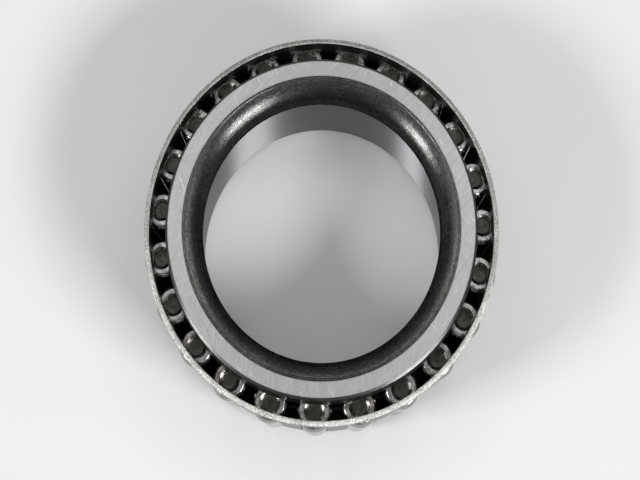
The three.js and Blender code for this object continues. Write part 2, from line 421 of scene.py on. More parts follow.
def ring_ground_face():
    g = Graph("ring_ground_face")
    loc, x, y, _, radius = cylinder_coords(g)
    bright_1, bright_2, bright_3, deep, dark_1, dark_2 = [
        scratches(g, x, y, *row) for row in FACE_SCRATCHES]
    fine = g.maximum(g.maximum(bright_1, bright_2), bright_3 * 0.8)
    cloud = g.noise(loc, scale=0.12, detail=3.0, rough=0.6)
    grain = g.noise(loc, scale=5.5, detail=3.0, rough=0.65)
    base = g.mix(cloud * 0.10 + grain * 0.10, (0.49, 0.485, 0.48), (0.86, 0.85, 0.84))
    base = g.mix(fine * 0.45, base, (0.83, 0.82, 0.81))
    base = g.mix(deep * 0.8, base, (0.93, 0.92, 0.91))
    base = g.mix(g.maximum(dark_1, dark_2) * 0.34, base, (0.20, 0.20, 0.195))
    # the face darkens in a narrow band at both of its edges
    edge = g.maximum(g.fade(radius, FACE_OUT - 0.22, FACE_OUT - 0.02),
                     g.fade(radius, FACE_IN + 0.16, FACE_IN + 0.02))
    base = g.mix(edge * 0.35, base, (0.25, 0.25, 0.25))
    rough = 0.34 + (grain * 0.14 + fine * -0.08)
    height = fine * -1.0 + (deep * -2.0 + grain * 0.8)
    return g.set(Base_Color=base, Metallic=1.0, Roughness=rough,
                 Normal=g.bump(height, depth=0.006, strength=0.8), **brushed(g, 0.4))


def ring_turned_corner():
    """The dark curved corner. Its feed grooves are in the mesh; this adds their grain."""
    g = Graph("ring_turned_corner")
    loc, _, radius, azimuth = turned_coords(g)
    arc = g.attr("arc")
    broad = streaks(g, azimuth, arc, around=2.2, fineness=5.0, seed=4.0)
    short = streaks(g, azimuth, arc, around=11.0, fineness=9.0, seed=11.0)
    fleck = streaks(g, azimuth, arc, around=34.0, fineness=5.0, detail=4.0, rough=0.75)
    pits = g.fade(g.noise(loc, scale=2.3, detail=4.0, rough=0.7), 0.60, 0.74)
    cloud = g.noise(loc, scale=0.22, detail=3.0, rough=0.6)
    tone = broad * 0.20 + (cloud * 0.15 + fleck * 0.65)
    base = g.ramp(tone, (0.34, (0.046, 0.046, 0.045)), (0.50, (0.098, 0.097, 0.094)),
                  (0.66, (0.25, 0.247, 0.24)))
    base = g.mix(g.fade(short, 0.62, 0.75) * 0.22, base, (0.34, 0.335, 0.325))
    base = g.mix(pits * 0.6, base, (0.02, 0.02, 0.02))
    # painted shade: the corner is painted blacker towards the bore
    painted_bore_shade = g.fade(radius, 25.0, BORE_R + 0.5, low=0.0, high=0.35, kind="LINEAR")
    base = g.mix(painted_bore_shade, base, (0.012, 0.012, 0.012))
    rough = 0.225 + (fleck * 0.10 + pits * 0.25)
    height = fleck * 0.7 + (short * 0.2 + pits * -0.8)
    return g.set(Base_Color=base, Metallic=1.0, Roughness=rough,
                 Normal=g.bump(height, depth=0.0065, strength=0.9),
                 Specular_Tint=(0.22, 0.22, 0.22), **brushed(g, 0.35))


def ring_ground_bore():
    g = Graph("ring_ground_bore")
    loc, z, _, azimuth = turned_coords(g)
    long = streaks(g, azimuth, z, around=3.0, fineness=16.0, seed=2.0)
    short = streaks(g, azimuth, z, around=14.0, fineness=30.0, seed=9.0)
    cloud = g.noise(loc, scale=0.15)
    base = g.mix(long * 0.5 + cloud * 0.3, (0.25, 0.25, 0.256), (0.36, 0.36, 0.366))
    return g.set(Base_Color=base, Metallic=1.0, Roughness=0.37 + long * 0.12,
                 Normal=g.bump(long + short * 0.6, depth=0.0016, strength=0.7),
                 **brushed(g, 1.0))


def ring_rib():
    """Outside of both ribs and the edges: fine turned, a little dark."""
    g = Graph("ring_rib")
    loc, _, _, azimuth = turned_coords(g)
    arc = g.attr("arc")
    long = streaks(g, azimuth, arc, around=3.0, fineness=14.0, seed=5.0)
    short = streaks(g, azimuth, arc, around=12.0, fineness=30.0, seed=8.0)
    stain = g.fade(g.noise(loc, scale=0.5, detail=4.0, rough=0.65), 0.45, 0.75)
    base = g.mix(long, (0.085, 0.084, 0.081), (0.19, 0.188, 0.182))
    base = g.mix(stain * 0.35, base, (0.06, 0.057, 0.052))
    return g.set(Base_Color=base, Metallic=1.0, Roughness=0.26 + short * 0.16,
                 Normal=g.bump(long + short, depth=0.004, strength=0.8), **brushed(g, 0.6))


def ring_raceway():
    g = Graph("ring_raceway")
    loc, _, _, azimuth = turned_coords(g)
    marks = streaks(g, azimuth, g.attr("arc"), around=4.0, fineness=26.0, seed=3.0)
    cloud = g.noise(loc, scale=0.3, detail=3.0)
    base = g.mix(marks * 0.4 + cloud * 0.4, (0.50, 0.49, 0.475), (0.72, 0.71, 0.69))
    return g.set(Base_Color=base, Metallic=1.0, Roughness=0.12 + marks * 0.10,
                 Normal=g.bump(marks, depth=0.0015, strength=0.7))


def ring_relief():
    """Undercuts and chamfers: black from heat treatment."""
    g = Graph("ring_relief")
    loc, _, _, azimuth = turned_coords(g)
    marks = streaks(g, azimuth, g.attr("arc"), around=5.0, fineness=12.0, seed=1.0)
    grain = g.noise(loc, scale=3.0, detail=4.0, rough=0.7)
    base = g.mix(marks, (0.05, 0.048, 0.045), (0.12, 0.115, 0.11))
    return g.set(Base_Color=base, Metallic=0.8, Roughness=0.4 + grain * 0.2,
                 Normal=g.bump(marks + grain, depth=0.006, strength=0.7))


# ---- roller materials -------------------------------------------------------------------------

def per_roller(g, vector):
    """Shifts a pattern by the seed the roller's mesh carries, so that no two match."""
    return g.vector_math("ADD", vector, g.vector(g.attr("seed") * 17.0, g.attr("seed") * 5.0, 0.0))


def roller_flank():
    g = Graph("roller_flank")
    loc, z, _, azimuth = turned_coords(g)
    seed = g.attr("seed") * 7.3
    long = streaks(g, azimuth, z, around=1.2, fineness=14.0, seed=seed)
    short = streaks(g, azimuth, z, around=5.0, fineness=30.0, seed=seed, detail=2.0)
    smear = g.noise(per_roller(g, g.stretch(loc, (0.5, 0.5, 0.16))), detail=4.0, rough=0.6)
    scratch = g.fade(g.noise(per_roller(g, g.stretch(loc, (6.0, 6.0, 0.35)))), 0.66, 0.74)
    base = g.mix(long, (0.26, 0.256, 0.248), (0.44, 0.432, 0.42))
    base = g.mix(g.fade(smear, 0.5, 0.75) * 0.35, base, (0.22, 0.21, 0.185))
    base = g.mix(scratch * 0.5, base, (0.85, 0.84, 0.82))
    rough = 0.13 + short * 0.08 + g.fade(smear, 0.45, 0.8) * 0.14
    height = long + (short * 0.7 - scratch * 0.6)
    return g.set(Base_Color=base, Metallic=1.0, Roughness=rough,
                 Normal=g.bump(height, depth=0.0025, strength=0.7))


def roller_ground_end():
    """The flat of a roller's ends: arcs of scratches, glints, a film of oil."""
    g = Graph("roller_ground_end")
    loc, _, radius, azimuth = turned_coords(g)
    place = per_roller(g, loc)
    x, y, _ = g.split(place)
    fine = g.maximum(
        scratches(g, x, y, (9, -3), fineness=9.0, along=8.0, start=0.52, end=0.70,
                  seed=g.attr("seed")),
        scratches(g, x, y, (-7, 8), fineness=8.0, along=8.0, start=0.54, end=0.72,
                  seed=g.attr("seed") + 3.0))
    marks = streaks(g, azimuth, radius, around=2.5, fineness=9.0, seed=g.attr("seed") * 3.7)
    cloud = g.noise(place, scale=1.1, detail=4.0, rough=0.65)
    grit = g.noise(place, scale=5.0, detail=3.0, rough=0.7)
    oil = g.fade(g.noise(place, scale=0.75, detail=3.0, rough=0.6), 0.50, 0.66)
    tone = g.fade(cloud * 0.6 + marks * 0.4, 0.36, 0.62)
    base = g.mix(tone, (0.20, 0.198, 0.19), (0.58, 0.57, 0.555))
    base = g.mix(fine * 0.4, base, (0.80, 0.79, 0.77))
    base = g.mix(oil * 0.6, base, (0.11, 0.107, 0.092))
    height = fine * -0.25 + (cloud + grit * 0.25)
    return g.set(Base_Color=base, Metallic=1.0, Roughness=0.20 + cloud * 0.15,
                 Normal=g.bump(height, depth=0.045, strength=0.9))


def roller_recess_edge():
    """The worn bright edge of the recess."""
    g = Graph("roller_recess_edge")
    cloud = g.noise(per_roller(g, g.attr("loc", "Vector")), scale=1.8, detail=4.0, rough=0.65)
    base = g.ramp(cloud, (0.36, (0.035, 0.034, 0.030)), (0.52, (0.11, 0.107, 0.096)),
                  (0.68, (0.34, 0.33, 0.30)))
    return g.set(Base_Color=base, Metallic=1.0, Roughness=0.16 + cloud * 0.14,
                 Normal=g.bump(cloud, depth=0.05, strength=0.9))


def roller_recess():
    """The forged recess: dark, scaly, oily."""
    g = Graph("roller_recess")
    place = per_roller(g, g.attr("loc", "Vector"))
    cloud = g.noise(place, scale=1.1, detail=5.0, rough=0.65)
    grain = g.noise(place, scale=6.0, detail=3.0, rough=0.7)
    base = g.ramp(cloud, (0.30, (0.030, 0.030, 0.024)), (0.55, (0.070, 0.068, 0.054)),
                  (0.8, (0.16, 0.152, 0.122)))
    return g.set(Base_Color=base, Metallic=0.8, Roughness=0.36 + grain * 0.22,
                 Normal=g.bump(cloud + grain * 0.35, depth=0.06, strength=0.9),
                 Coat_Weight=0.3, Coat_Roughness=0.2)


# ---- cage materials ---------------------------------------------------------------------------

def drawing_marks(g, loc):
    """Marks that run down the cone of the pressed sheet."""
    return g.noise(g.stretch(loc, (2.4, 2.4, 0.22)), detail=3.0, rough=0.6)


def cage_sheet():
    g = Graph("cage_sheet")
    loc, z, _, azimuth = turned_coords(g)
    cloud = g.noise(loc, scale=0.35, detail=4.0, rough=0.6)
    grain = g.noise(loc, scale=7.0, detail=4.0, rough=0.7)
    draw = drawing_marks(g, loc)
    scuff = g.fade(streaks(g, azimuth, z, around=8.0, fineness=5.0, seed=3.0), 0.58, 0.72)
    tone = cloud * 0.4 + (draw * 0.35 + grain * 0.25)
    base = g.ramp(tone, (0.30, (0.14, 0.143, 0.137)), (0.55, (0.25, 0.255, 0.243)),
                  (0.8, (0.38, 0.385, 0.365)))
    base = g.mix(scuff * 0.3, base, (0.50, 0.50, 0.48))
    height = grain * 0.6 + (draw + cloud * 0.6)
    return g.set(Base_Color=base, Metallic=1.0, Roughness=0.36 + grain * 0.20,
                 Normal=g.bump(height, depth=0.012, strength=0.8))


def cage_inside_painted_shade():
    """The sheet's inner surface: painted dark as shade inside the cage, under a film of oil."""
    g = Graph("cage_inside_painted_shade")
    loc = g.attr("loc", "Vector")
    cloud = g.noise(loc, scale=0.5, detail=4.0, rough=0.6)
    grain = g.noise(loc, scale=6.0, detail=4.0, rough=0.7)
    draw = drawing_marks(g, loc)
    tone = cloud * 0.5 + (draw * 0.3 + grain * 0.2)
    # painted shade: near-black tones for the shade inside the cage
    base = g.ramp(tone, (0.32, (0.022, 0.023, 0.020)), (0.55, (0.052, 0.053, 0.047)),
                  (0.8, (0.12, 0.12, 0.108)))
    height = grain * 0.6 + (draw + cloud)
    return g.set(Base_Color=base, Metallic=0.9, Roughness=0.30 + grain * 0.20,
                 Normal=g.bump(height, depth=0.012, strength=0.8),
                 Coat_Weight=0.2, Coat_Roughness=0.25)


def cage_sheared():
    """The cut edges: bright torn metal, speckled."""
    g = Graph("cage_sheared_edge")
    loc, _, radius, azimuth = turned_coords(g)
    tears = streaks(g, azimuth, radius, around=150.0, fineness=3.0, detail=4.0, rough=0.7)
    speck = g.noise(loc, scale=4.0, detail=4.0, rough=0.7)
    cloud = g.noise(loc, scale=0.3, detail=3.0)
    tone = tears * 0.5 + (speck * 0.35 + cloud * 0.15)
    base = g.ramp(tone, (0.34, (0.12, 0.122, 0.115)), (0.47, (0.42, 0.425, 0.40)),
                  (0.61, (0.93, 0.92, 0.88)))
    return g.set(Base_Color=base, Metallic=1.0, Roughness=0.30 + speck * 0.25,
                 Normal=g.bump(tears + speck, depth=0.09, strength=1.0))


def cage_pocket():
    """Coined pocket walls: burnished by the punch."""
    g = Graph("cage_pocket_wall")
    loc = g.attr("loc", "Vector")
    marks = g.noise(g.stretch(loc, (5.0, 5.0, 0.5)), detail=3.0, rough=0.6)
    grain = g.noise(loc, scale=6.0, detail=3.0, rough=0.6)
    base = g.mix(marks, (0.28, 0.28, 0.27), (0.62, 0.615, 0.60))
    return g.set(Base_Color=base, Metallic=1.0, Roughness=0.24 + grain * 0.2,
                 Normal=g.bump(marks + grain, depth=0.006, strength=0.8))


# ---- inner ring -------------------------------------------------------------------------------

RING_SEGMENTS = 288
FEED_TURNS, FEED_STEPS = 28, 6     # tool turns along the corner, points to a turn
FEED_DEPTH = 0.012                 # of each turn's round-bottomed groove
CORNER_START_STEP = 0.012          # outward step of the corner curve's first point
FACE_FINISH = 0.09                 # last stretch of the corner that has the face's finish
# two deeper grooves beside the face: distance from the corner's end, half-width, depth
DEEP_GROOVES = [(0.20, 0.08, 0.055), (0.60, 0.09, 0.05)]


def corner_path():
    """The elliptical corner from the bore up to the top face, with its feed grooves."""
    across = FACE_IN - BORE_R
    angles = [math.pi / 2 * (1 - i / 4000) for i in range(4001)]
    curve = np.array([(FACE_IN - across * math.sin(a), WIDTH - CORNER_H + CORNER_H * math.cos(a))
                      for a in angles])
    run = np.concatenate([[0], np.cumsum(np.linalg.norm(np.diff(curve, axis=0), axis=1))])
    total = run[-1]
    pitch = total / FEED_TURNS

    def on_curve(s):
        return np.array([np.interp(s, run, curve[:, k]) for k in range(2)])

    path = []
    steps = FEED_TURNS * FEED_STEPS
    for i in range(steps):
        s = i * total / steps
        tangent = on_curve(min(s + 0.01, total)) - on_curve(max(s - 0.01, 0))
        tangent /= np.linalg.norm(tangent)
        outward = np.array([-tangent[1], tangent[0]])       # out of the metal
        phase = s / pitch % 1.0
        depth = FEED_DEPTH * (1 - (2 * phase - 1) ** 2)
        left = total - s
        depth += sum(deep * math.exp(-((left - at) / spread) ** 2)
                     for at, spread, deep in DEEP_GROOVES)
        r, z = on_curve(s) - outward * depth
        path.append((r + (CORNER_START_STEP if i == 0 else 0), z, -1,
                     "corner" if left > FACE_FINISH else "face"))
    return path


def ring_path():
    """(radius, height, fillet, zone), up the bore and round; heights are from the bottom face."""
    return [
        (BORE_R, 0.75, 0.12, "bore"),
        (BORE_R, WIDTH - CORNER_H - 0.10, 0, "corner"),
        *corner_path(),
        # top face and rib
        (FACE_IN, WIDTH, 0, "face"),
        (FACE_OUT, WIDTH, 0.06, "rib"),
        (RIB_R, WIDTH - 0.36, 0.14, "rib"),
        (RIB_R, rib_z(RIB_R) + 0.16, 0.12, "rib"),
        (RIB_R - 0.16, rib_z(RIB_R - 0.16), 0.06, "race"),
        # undercut below the rib
        (27.94, rib_z(27.94), 0.10, "relief"),
        (27.54, 17.58, 0.12, "relief"),
        (27.16, 17.46, 0.14, "relief"),
        (27.09, 17.0, 0.16, "relief"),
        # raceway
        (race_r(16.55), 16.55, 0.10, "race"),
        (race_r(3.1), 3.1, 0.10, "relief"),
        # undercut and small rib at the small ends
        (24.92, 2.78, 0.10, "relief"),
        (24.99, small_z(24.99) - 0.28, 0.10, "relief"),
        (26.05, small_z(26.05) - 0.25, 0.12, "rib"),
        (26.25, small_z(26.25) - 0.45, 0.12, "rib"),
        (26.25, 0.5, 0.20, "rib"),
        # bottom face and the bore's chamfer
        (25.75, 0.0, 0.16, "face"),
        (BORE_R + 0.75, 0.0, 0.10, "relief"),
    ]


def build_ring():
    finishes = {"face": ring_ground_face(), "corner": ring_turned_corner(),
                "bore": ring_ground_bore(), "rib": ring_rib(), "race": ring_raceway(),
                "relief": ring_relief()}
    ring = lathe("inner_ring_finish", profile(ring_path()), finishes, RING_SEGMENTS)
    stand_in(ring, "inner_ring")


build_ring()

# ---- rollers ----------------------------------------------------------------------------------

ROLLER_SEGMENTS = 72
ROLLER_TURN = 2.399963             # radians each roller is turned on from the one before

# (radius, distance from the small end, fillet, zone)
ROLLER_PATH = [
    (0.0, 0.10, 0, "recess"),
    (1.35, 0.10, 0.06, "recess"),
    (1.50, 0.0, 0.06, "end"),
    (SMALL_R, 0.0, 0.34, "flank"),
    (LARGE_R, ROLLER_LEN - 0.66, 0.60, "flank"),
    (LARGE_R - 0.56, ROLLER_LEN, 0.45, "end"),
    (1.98, ROLLER_LEN, 0.07, "bevel"),
    (1.50, ROLLER_LEN - 0.29, 0.10, "recess"),
    (1.36, ROLLER_LEN - 0.46, 0.15, "recess"),
    (0.55, ROLLER_LEN - 0.52, 0.30, "recess"),
    (0.0, ROLLER_LEN - 0.48, 0, "recess"),
]


def build_rollers():
    finishes = {"flank": roller_flank(), "end": roller_ground_end(),
                "bevel": roller_recess_edge(), "recess": roller_recess()}
    outline = profile(ROLLER_PATH, closed=False)
    for k, (name, axis, mid, azimuth) in enumerate(
            zip(ROLLERS, ROLLER_AXES, ROLLER_MIDS, AZIMUTHS)):
        x_axis = Vector((math.cos(TILT) * math.cos(azimuth), math.cos(TILT) * math.sin(azimuth),
                         -math.sin(TILT)))
        origin = (mid - axis * (ROLLER_LEN / 2)) * MM
        place = axes_matrix(x_axis, axis.cross(x_axis), axis, origin)
        place = place @ Matrix.Rotation(ROLLER_TURN * k, 4, "Z")
        roller = lathe(name + "_finish", outline, finishes, ROLLER_SEGMENTS, place,
                       closed=False, seed=k + 1.0)
        stand_in(roller, name)


build_rollers()

# ---- cage -------------------------------------------------------------------------------------
# A cone of sheet, widest at the top, bent inwards at the bottom into a flat flange. Each roller
# has a rounded pocket. "out" and "in" are the sheet's two surfaces.

CAGE_LO, CAGE_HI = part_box("cage")
CAGE_TOP, CAGE_BOTTOM = CAGE_HI.z / MM, CAGE_LO.z / MM
TOP_R = {"out": 33.84, "in": 32.86}
SLOPE = 0.205                      # radius gained per height on the cone
BEND_R = 1.5                       # of the outer surface
FLANGE_R = 26.75                   # inner edge of the flange
CONE_ANGLE = math.atan(SLOPE)
THICKNESS = (TOP_R["out"] - TOP_R["in"]) * math.cos(CONE_ANGLE)
BEND_TURN = math.pi / 2 - CONE_ANGLE
BEND_CENTRE_R = (TOP_R["out"] - (CAGE_TOP - CAGE_BOTTOM) * SLOPE
                 - BEND_R * math.tan(BEND_TURN / 2))
BEND_CENTRE_Z = CAGE_BOTTOM + BEND_R
BEND = {"out": BEND_R, "in": BEND_R - THICKNESS}
CONE_END = {side: BEND_CENTRE_Z - BEND[side] * math.sin(CONE_ANGLE) for side in BEND}

WALL_LEAN = math.radians(30)       # lean of the pockets' long walls
SIDE_GAP = 0.08                    # between roller and long wall
LARGE_GAP, SMALL_GAP = 0.37, 0.20  # beyond the roller's two ends
POCKET_CORNER = 0.62
SHEET_HEIGHT = 1.3                 # first guess of the sheet's height over a roller's axis
END_STEPS, SIDE_STEPS, ARC_STEPS = 6, 20, 3      # half an end, a side, half a corner
LARGE_CORNER = END_STEPS + ARC_STEPS             # index of each corner's middle
SMALL_CORNER = END_STEPS + 3 * ARC_STEPS + SIDE_STEPS
EDGE_ROUND = {"out": 0.13, "in": 0.09}           # rounding of the pocket's edges
SHARE_TOP, SHARE_BOTTOM = 0.068, 1.42            # the sheet coordinates a pocket's grid spans
SHEET, SHEARED, POCKET, INSIDE = range(4)        # material slots


def sheet(side, t):
    """(r, z) on a surface of the sheet: t is 0-1 down the cone, 1-2 round the bend,
    2-3 along the flange."""
    if t <= 1:
        z = CAGE_TOP + (CONE_END[side] - CAGE_TOP) * t
        return TOP_R[side] - (CAGE_TOP - z) * SLOPE, z
    if t <= 2:
        a = -CONE_ANGLE - BEND_TURN * (t - 1)
        return BEND_CENTRE_R + BEND[side] * math.cos(a), BEND_CENTRE_Z + BEND[side] * math.sin(a)
    return BEND_CENTRE_R + (FLANGE_R - BEND_CENTRE_R) * (t - 2), BEND_CENTRE_Z - BEND[side]


def sheet_t(side, z):
    if z >= CONE_END[side]:
        return (CAGE_TOP - z) / (CAGE_TOP - CONE_END[side])
    return 1 + (CONE_END[side] - z) / math.cos(CONE_ANGLE) / (BEND[side] * BEND_TURN)


def window_point(side, x, y):
    """(azimuth, t, height over the roller's axis) of the sheet at x across a roller and y
    along it from its small end."""
    height = SHEET_HEIGHT
    for _ in range(30):
        r = math.hypot(SMALL_END_R + y * math.sin(TILT) + height * math.cos(TILT), x)
        z = SMALL_END_Z + y * math.cos(TILT) - height * math.sin(TILT)
        height += (TOP_R[side] - (CAGE_TOP - z) * SLOPE - r) * 0.95
    azimuth = math.atan2(x, SMALL_END_R + y * math.sin(TILT) + height * math.cos(TILT))
    z = SMALL_END_Z + y * math.cos(TILT) - height * math.sin(TILT)
    return azimuth, sheet_t(side, z), height


def half_width(side, y):
    """Half the pocket's width at length y, on this surface of the sheet."""
    height = SHEET_HEIGHT
    for _ in range(6):
        r = SMALL_R + (LARGE_R - SMALL_R) * y / ROLLER_LEN
        width = (r + SIDE_GAP - height * math.sin(WALL_LEAN)) / math.cos(WALL_LEAN)
        height = window_point(side, width, y)[2]
    return width


def window_loop(side):
    """Half the rounded pocket outline as (azimuth, t): from the middle of the top, down the
    side at larger azimuth, to the middle of the bottom."""
    low, high = -SMALL_GAP, ROLLER_LEN + LARGE_GAP
    w_low, w_high = half_width(side, low), half_width(side, high)
    slope = (w_high - w_low) / (high - low)
    c = POCKET_CORNER
    arc = [math.pi / 2 * i / (2 * ARC_STEPS) for i in range(2 * ARC_STEPS + 1)]
    out = [((w_high - c) * i / END_STEPS, high) for i in range(END_STEPS)]
    out += [(w_high - c + c * math.sin(a) - slope * c * (1 - math.cos(a)),
             high - c + c * math.cos(a)) for a in arc]
    side_top, side_bottom = high - c, low + c
    for i in range(1, SIDE_STEPS):
        y = side_top + (side_bottom - side_top) * i / SIDE_STEPS
        out.append((w_low + slope * (y - low), y))
    out += [(w_low - c + c * math.cos(a) + slope * c * (1 - math.sin(a)),
             side_bottom - c * math.sin(a)) for a in arc]
    out += [((w_low - c) * (1 - i / END_STEPS), low) for i in range(1, END_STEPS + 1)]
    return [window_point(side, x, y)[:2] for x, y in out]


def share_border(loop):
    """The border of half a pocket's share of the sheet as (azimuth, t), a point for each
    point of the pocket's outline."""
    half_pitch = math.pi / len(ROLLERS)
    last = len(loop) - 1
    border = []
    for i in range(len(loop)):
        if i <= LARGE_CORNER:
            border.append((half_pitch * i / LARGE_CORNER, SHARE_TOP))
        elif i <= SMALL_CORNER:
            f = (i - LARGE_CORNER) / (SMALL_CORNER - LARGE_CORNER)
            even = SHARE_TOP + (SHARE_BOTTOM - SHARE_TOP) * f
            weight = math.sin(math.pi * f) ** 0.5
            border.append((half_pitch, even * (1 - weight) + loop[i][1] * weight))
        else:
            border.append((half_pitch * (last - i) / (last - SMALL_CORNER), SHARE_BOTTOM))
    return border


def bezier(a, b, c, q):
    return a * (1 - q) ** 2 + b * 2 * q * (1 - q) + c * q * q


def top_rows():
    """(r, z, torn) rows from the outer surface over the cut top edge to the inner surface.
    The edge is rounded outside, rises inwards, and has a small rounding inside."""
    r_out, r_in, z_top = TOP_R["out"], TOP_R["in"], CAGE_TOP
    over, burr = 0.42, 0.07        # extent of the outer and inner rounding
    inset, drop = 0.14, 0.245      # where the outer rounding meets the cut

    def on_sheet(side, stations):
        return [(*sheet(side, t), False) for t in stations]

    rows = on_sheet("out", (0.056, 0.046, 0.036, over / (CAGE_TOP - CONE_END["out"]) + 0.0022))
    for q in (0.0, 0.33, 0.67, 1.0):
        rows.append((bezier(r_out - over * SLOPE, r_out - 0.33 * SLOPE, r_out - inset, q),
                     bezier(z_top - over, z_top - 0.33, z_top - drop, q), q == 1.0))
    for q in (0.17, 0.34, 0.51, 0.68, 0.84, 1.0):
        rows.append((r_out - inset + (r_in + burr - r_out + inset) * q,
                     z_top - drop * (1 - q) ** 1.8, True))
    for q in (0.5, 1.0):
        rows.append((bezier(r_in + burr, r_in, r_in - burr * SLOPE, q),
                     bezier(z_top, z_top, z_top - burr, q), False))
    return rows + on_sheet("in", (burr / (CAGE_TOP - CONE_END["in"]) + 0.0022,
                                  0.022, 0.036, 0.052))


def bottom_rows():
    """(r, z, torn) rows round the bend, along the flange, over its rounded inner edge and
    back along the inner surface."""
    z_out, z_in = BEND_CENTRE_Z - BEND["out"], BEND_CENTRE_Z - BEND["in"]
    edge = 0.12                    # rounding of the flange's inner edge
    flange = BEND_CENTRE_R - FLANGE_R
    stations = [1.56, 1.70, 1.85, 2.0, 2.3, 2.65, 2 + (flange - edge - 0.03) / flange]
    quarters = (0.0, 0.25, 0.5, 0.75, 1.0)
    rows = [sheet("out", t) for t in stations]
    rows += [(FLANGE_R + edge * (1 - q) ** 2, z_out + edge * q ** 2) for q in quarters]
    rows += [(FLANGE_R + edge * q ** 2, z_in - edge * (1 - q) ** 2) for q in quarters]
    rows += [sheet("in", t) for t in reversed(stations)]
    return [(r, z, False) for r, z in rows]


class CageMesh:
    """Gathers the cage's points and faces, half a pocket's share at a time."""

    def __init__(self):
        self.verts, self.torn, self.quads, self.materials = [], [], [], []
        self.loops = {side: window_loop(side) for side in ("out", "in")}
        self.border = share_border(self.loops["out"])
        self.top, self.bottom = top_rows(), bottom_rows()

    def add(self, point, torn=False):
        self.verts.append(point)
        self.torn.append(torn)
        return len(self.verts) - 1

    def turned(self, r, z, azimuth):
        """The point at an azimuth from the current pocket's middle, on the current half."""
        a = self.theta + self.mirror * azimuth
        return Vector((r * math.cos(a), r * math.sin(a), z))

    def on_sheet(self, side, azimuth, t):
        return self.turned(*sheet(side, t), azimuth)

    def quad(self, line, following, j, material):
        """The face between two neighbouring lines of points, from their point j to j + 1."""
        face = [line[j], line[j + 1], following[j + 1], following[j]]
        self.quads.append(face if self.mirror > 0 else face[::-1])
        self.materials.append(material)

    def surface_grid(self, side):
        """Lines of points from the pocket's edge out to the share's border."""
        grid = []
        for (a0, t0), (a1, t1) in zip(self.loops[side], self.border):
            span = (self.on_sheet(side, a1, t1) - self.on_sheet(side, a0, t0)).length
            start = EDGE_ROUND[side] / span
            held = start + 0.03 / span
            stations = [start, held] + [held + (1 - held) * q for q in (0.18, 0.42, 0.70, 1.0)]
            grid.append([self.add(self.on_sheet(side, a0 + (a1 - a0) * f, t0 + (t1 - t0) * f))
                         for f in stations])
        return grid

    def wall_line(self, i, first, last):
        """Points through the sheet at outline point i, rounded into both surfaces."""
        outer, inner = (self.on_sheet(side, *self.loops[side][i]) for side in ("out", "in"))
        across = inner - outer
        depth = across.length
        across = across / depth
        outer_end = outer + across * min(EDGE_ROUND["out"], depth * 0.4)
        inner_end = inner - across * min(EDGE_ROUND["in"], depth * 0.4)
        points = [bezier(self.verts[first], outer, outer_end, q) for q in (0.25, 0.5, 0.75, 1.0)]
        points.append(outer_end.lerp(inner_end, 0.5))
        points += [bezier(inner_end, inner, self.verts[last], q) for q in (0.0, 0.33, 0.67)]
        return [first, *(self.add(point) for point in points), last]

    def edge_strip(self, grids, columns, rows, sheared):
        """Joins the two surfaces over a cut edge. sheared: the rows of faces on the cut."""
        lines = []
        for i in columns:
            line = [grids["out"][i][-1]]
            line += [self.add(self.turned(r, z, self.border[i][0]), torn) for r, z, torn in rows]
            lines.append(line + [grids["in"][i][-1]])
        for line, following in zip(lines, lines[1:]):
            for j in range(len(line) - 1):
                material = SHEARED if j in sheared else SHEET if j < sheared.start else INSIDE
                self.quad(line, following, j, material)

    def half_share(self, theta, mirror):
        """Half of one pocket's share. mirror is -1 for the half at smaller azimuth."""
        self.theta, self.mirror = theta, mirror
        grids = {side: self.surface_grid(side) for side in ("out", "in")}
        outer, inner = grids["out"], grids["in"]
        count = len(self.border)
        wall = [self.wall_line(i, outer[i][0], inner[i][0]) for i in range(count)]
        for i in range(count - 1):
            for j in range(len(outer[0]) - 1):
                self.quad(outer[i], outer[i + 1], j, SHEET)
                self.quad(inner[i + 1], inner[i], j, INSIDE)
            for j in range(len(wall[0]) - 1):
                self.quad(wall[i + 1], wall[i], j, POCKET if 1 <= j <= 6 else SHEET)
        self.edge_strip(grids, range(LARGE_CORNER + 1), self.top, range(6, 16))
        self.edge_strip(grids, range(SMALL_CORNER, count), self.bottom, range(8, 17))

    def welded(self):
        """Points, faces, face materials and torn flags with the shared borders joined."""
        co = np.array([tuple(v) for v in self.verts])
        key = np.round(co * 2000).astype(np.int64)
        _, first, inverse = np.unique(key, axis=0, return_index=True, return_inverse=True)
        kept_as = first[inverse.ravel()]
        used = np.unique(kept_as)
        new_id = -np.ones(len(co), int)
        new_id[used] = np.arange(len(used))
        faces, materials = [], []
        for quad, material in zip(self.quads, self.materials):
            face = without_repeats([int(new_id[kept_as[i]]) for i in quad])
            if len(set(face)) >= 3:
                faces.append(face)
                materials.append(material)
        return co[used], faces, materials, np.array(self.torn)[used]


def roughen(co, torn):
    """Lowers the points of the torn top edge a little: waves round the cage, and grit."""
    wave_height, grit_height = 0.012, 0.010
    rng = np.random.default_rng(5)
    azimuth = np.arctan2(co[:, 1], co[:, 0])
    waves = zip(rng.integers(40, 900, 24), rng.uniform(0, 6.28, 24), rng.uniform(0.2, 1.0, 24))
    wave = sum(np.sin(azimuth * rate + phase) * size for rate, phase, size in waves) / 8
    grit = np.abs(rng.normal(0, grit_height, torn.sum()))
    co[torn, 2] += np.minimum(wave[torn] * wave_height, 0.0) - grit


def build_cage():
    shape = CageMesh()
    for theta in AZIMUTHS:
        shape.half_share(theta, 1)
        shape.half_share(theta, -1)
    co, faces, face_materials, torn = shape.welded()
    roughen(co, torn)
    materials = [cage_sheet(), cage_sheared(), cage_pocket(), cage_inside_painted_shade()]
    cage = new_mesh("cage_finish", co * MM, faces, materials, face_materials,
                    {"loc": ("FLOAT_VECTOR", co)})
    stand_in(cage, "cage")


build_cage()

# ---- floor (metres) ---------------------------------------------------------------------------

BACKDROP = (0.60, 0.605, 0.61)
FLOOR_HALF, FLOOR_Z = 8.0, -2e-5


